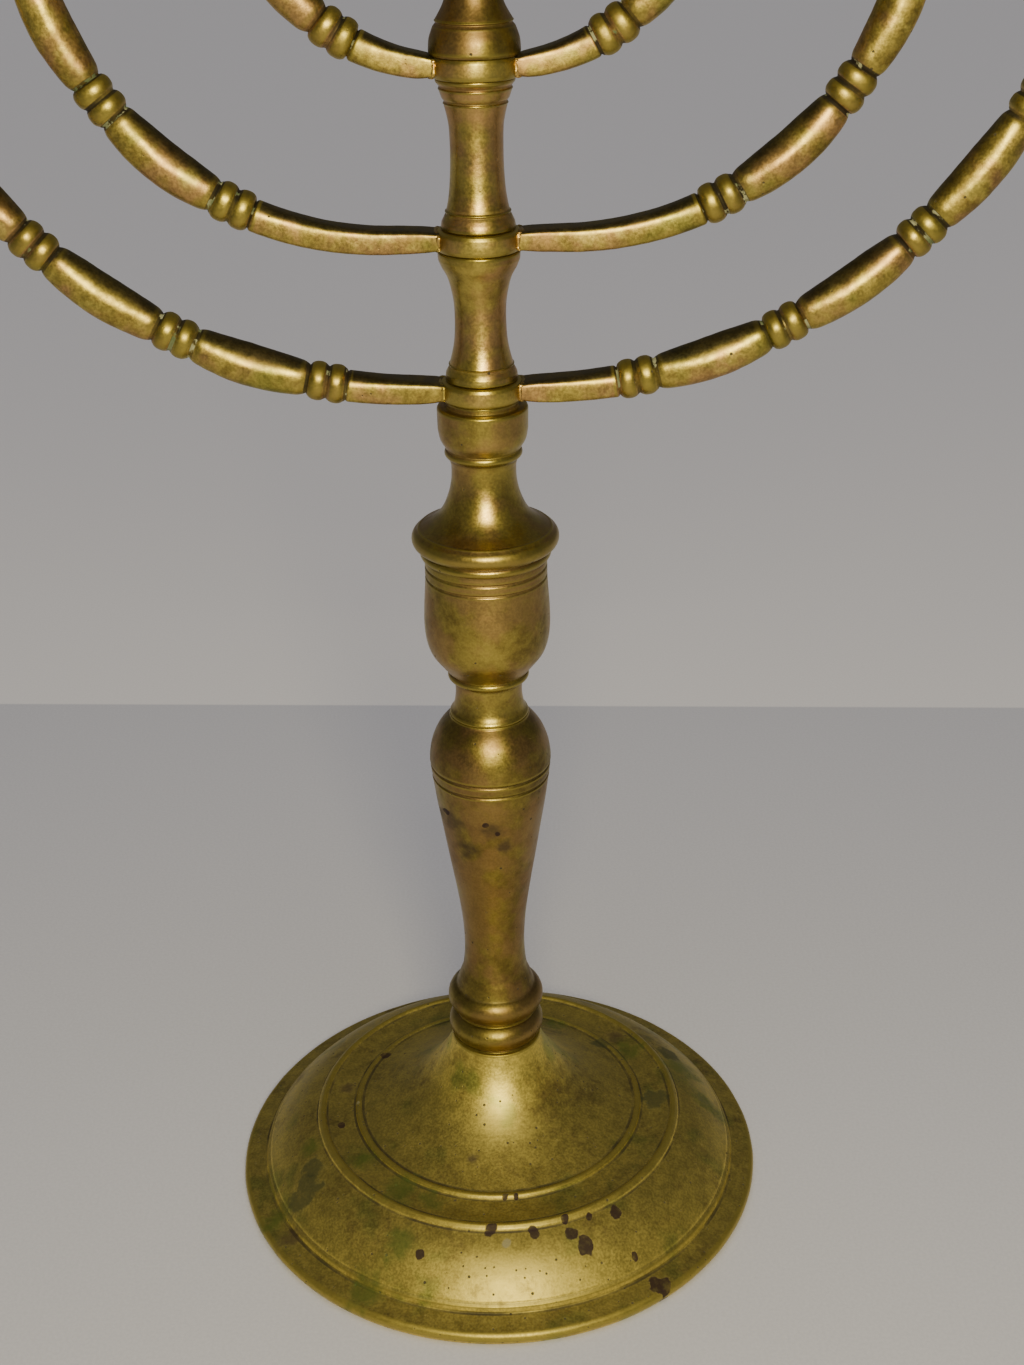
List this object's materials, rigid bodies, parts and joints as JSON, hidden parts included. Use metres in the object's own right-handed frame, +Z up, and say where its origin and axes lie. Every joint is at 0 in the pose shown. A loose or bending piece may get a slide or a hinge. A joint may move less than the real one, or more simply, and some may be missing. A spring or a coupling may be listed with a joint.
{
  "type": "menorah",
  "caption": "Free-standing turned brass candelabrum with a domed foot, a sectional stem, curved beaded arms that swivel in pairs, drip pans and screw-down candle cups.",
  "frame": {"origin": "centre of the foot, on the table", "axes": "+Z up along the stem, X along the row of lights (+X is the right-hand arms), -Y towards the front"},
  "size_m": [0.405, 0.19, 0.4952],
  "materials": {
    "foot_brass": "aged satin, pitted and spotted",
    "stem_brass": "aged satin, turned",
    "ring_brass": "aged dark satin",
    "arm_brass": "aged satin, verdigris in the grooves",
    "light_brass": "aged satin, turned",
    "steel_hardware": "dull, lightly rusted"
  },
  "bodies": {
    "stem": {"foot": "foot_brass", "foot_bead": "stem_brass", "stem_baluster": "stem_brass", "stem_vase": "stem_brass", "lower_spool": "stem_brass", "upper_spool": "stem_brass", "centre_shaft": "stem_brass", "tie_rod": "steel_hardware", "foot_washer": "steel_hardware", "foot_nut": "steel_hardware"},
    "outer_pair": {"lower_ring": "ring_brass", "outer_arm_left": "arm_brass", "outer_arm_right": "arm_brass"},
    "middle_pair": {"middle_ring": "ring_brass", "middle_arm_left": "arm_brass", "middle_arm_right": "arm_brass"},
    "inner_pair": {"upper_ring": "ring_brass", "inner_arm_left": "arm_brass", "inner_arm_right": "arm_brass"},
    "drip_pan_centre": {"pan_centre": "light_brass"},
    "candle_cup_centre": {"cup_centre": "light_brass"},
    "drip_pan_inner_left": {"pan_inner_left": "light_brass"},
    "candle_cup_inner_left": {"cup_inner_left": "light_brass"},
    "drip_pan_inner_right": {"pan_inner_right": "light_brass"},
    "candle_cup_inner_right": {"cup_inner_right": "light_brass"},
    "drip_pan_middle_left": {"pan_middle_left": "light_brass"},
    "candle_cup_middle_left": {"cup_middle_left": "light_brass"},
    "drip_pan_middle_right": {"pan_middle_right": "light_brass"},
    "candle_cup_middle_right": {"cup_middle_right": "light_brass"},
    "drip_pan_outer_left": {"pan_outer_left": "light_brass"},
    "candle_cup_outer_left": {"cup_outer_left": "light_brass"},
    "drip_pan_outer_right": {"pan_outer_right": "light_brass"},
    "candle_cup_outer_right": {"cup_outer_right": "light_brass"}
  },
  "joints": [
    {"name": "outer_arms_swivel", "type": "hinge", "parent": "stem", "child": "outer_pair", "pos_m": [0, 0, 0.2975], "axis": [0, 0, 1], "continuous": true},
    {"name": "middle_arms_swivel", "type": "hinge", "parent": "stem", "child": "middle_pair", "pos_m": [0, 0, 0.3427], "axis": [0, 0, 1], "continuous": true},
    {"name": "inner_arms_swivel", "type": "hinge", "parent": "stem", "child": "inner_pair", "pos_m": [0, 0, 0.3909], "axis": [0, 0, 1], "continuous": true},
    {"name": "pan_centre_lift", "type": "slide", "parent": "stem", "child": "drip_pan_centre", "axis": [0, 0, 1], "range_m": [0, 0.006]},
    {"name": "cup_centre_turn", "type": "hinge", "parent": "drip_pan_centre", "child": "candle_cup_centre", "pos_m": [0, 0, 0.4636], "axis": [0, 0, 1], "range_deg": [0, 2161]},
    {"name": "pan_inner_left_lift", "type": "slide", "parent": "inner_pair", "child": "drip_pan_inner_left", "axis": [0, 0, 1], "range_m": [0, 0.006]},
    {"name": "cup_inner_left_turn", "type": "hinge", "parent": "drip_pan_inner_left", "child": "candle_cup_inner_left", "pos_m": [-0.063, 0, 0.4636], "axis": [0, 0, 1], "range_deg": [0, 2161]},
    {"name": "pan_inner_right_lift", "type": "slide", "parent": "inner_pair", "child": "drip_pan_inner_right", "axis": [0, 0, 1], "range_m": [0, 0.006]},
    {"name": "cup_inner_right_turn", "type": "hinge", "parent": "drip_pan_inner_right", "child": "candle_cup_inner_right", "pos_m": [0.063, 0, 0.4636], "axis": [0, 0, 1], "range_deg": [0, 2161]},
    {"name": "pan_middle_left_lift", "type": "slide", "parent": "middle_pair", "child": "drip_pan_middle_left", "axis": [0, 0, 1], "range_m": [0, 0.006]},
    {"name": "cup_middle_left_turn", "type": "hinge", "parent": "drip_pan_middle_left", "child": "candle_cup_middle_left", "pos_m": [-0.124, 0, 0.4636], "axis": [0, 0, 1], "range_deg": [0, 2161]},
    {"name": "pan_middle_right_lift", "type": "slide", "parent": "middle_pair", "child": "drip_pan_middle_right", "axis": [0, 0, 1], "range_m": [0, 0.006]},
    {"name": "cup_middle_right_turn", "type": "hinge", "parent": "drip_pan_middle_right", "child": "candle_cup_middle_right", "pos_m": [0.124, 0, 0.4636], "axis": [0, 0, 1], "range_deg": [0, 2161]},
    {"name": "pan_outer_left_lift", "type": "slide", "parent": "outer_pair", "child": "drip_pan_outer_left", "axis": [0, 0, 1], "range_m": [0, 0.006]},
    {"name": "cup_outer_left_turn", "type": "hinge", "parent": "drip_pan_outer_left", "child": "candle_cup_outer_left", "pos_m": [-0.18, 0, 0.4636], "axis": [0, 0, 1], "range_deg": [0, 2161]},
    {"name": "pan_outer_right_lift", "type": "slide", "parent": "outer_pair", "child": "drip_pan_outer_right", "axis": [0, 0, 1], "range_m": [0, 0.006]},
    {"name": "cup_outer_right_turn", "type": "hinge", "parent": "drip_pan_outer_right", "child": "candle_cup_outer_right", "pos_m": [0.18, 0, 0.4636], "axis": [0, 0, 1], "range_deg": [0, 2161]}
  ],
  "couplings": [
    {"joint": "cup_centre_turn", "follows": "pan_centre_lift", "rad_per_m": 6283.2},
    {"joint": "cup_inner_left_turn", "follows": "pan_inner_left_lift", "rad_per_m": 6283.2},
    {"joint": "cup_inner_right_turn", "follows": "pan_inner_right_lift", "rad_per_m": 6283.2},
    {"joint": "cup_middle_left_turn", "follows": "pan_middle_left_lift", "rad_per_m": 6283.2},
    {"joint": "cup_middle_right_turn", "follows": "pan_middle_right_lift", "rad_per_m": 6283.2},
    {"joint": "cup_outer_left_turn", "follows": "pan_outer_left_lift", "rad_per_m": 6283.2},
    {"joint": "cup_outer_right_turn", "follows": "pan_outer_right_lift", "rad_per_m": 6283.2}
  ]
}
